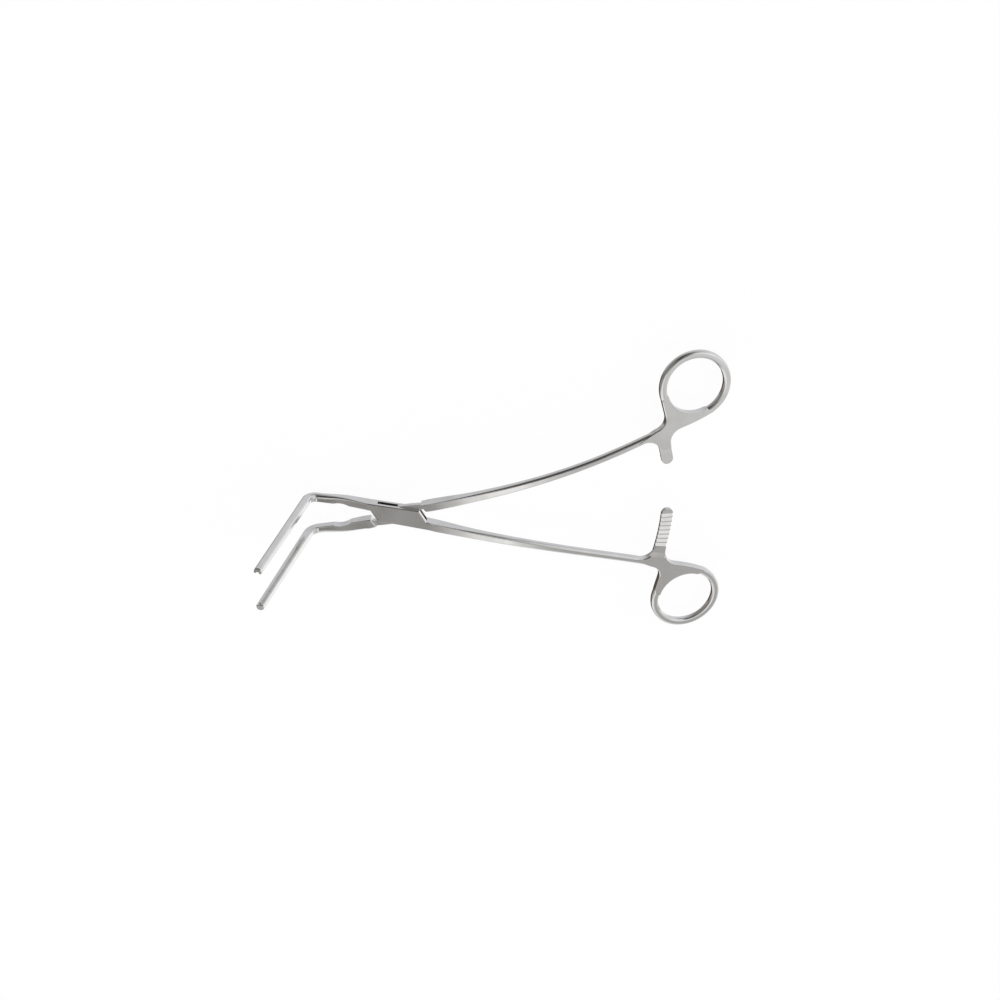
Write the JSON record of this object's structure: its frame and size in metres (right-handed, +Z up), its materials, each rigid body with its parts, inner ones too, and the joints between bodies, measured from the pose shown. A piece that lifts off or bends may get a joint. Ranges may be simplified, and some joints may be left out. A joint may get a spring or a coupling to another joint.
{
  "type": "aortic clamp",
  "caption": "Locking vascular clamp with long jaws bent up at a steep angle, crossed arms in a box lock, curved shanks with a toothed ratchet, and two finger rings.",
  "frame": {"origin": "middle of the bounding box, at the level of the table that the bends and finger rings lie on", "axes": "+X along the instrument from the jaws to the finger rings, +Z up, the side that the jaws are bent to; the halves open in Y"},
  "size_m": [0.2198, 0.1486, 0.0637],
  "materials": {
    "satin_steel": "satin, bead blasted then lightly polished",
    "pin_steel": "ground flush with the lock, satin"
  },
  "bodies": {
    "box_side": {"box_half": "satin_steel", "hinge_pin": "pin_steel"},
    "tenon_side": {"tenon_half": "satin_steel"}
  },
  "joints": [
    {"name": "box_lock_hinge", "type": "hinge", "parent": "box_side", "child": "tenon_side", "pos_m": [-0.04335, 0, 0.00733], "axis": [-0.1681, 0, 0.9858], "range_deg": [-16.7, 16]}
  ]
}
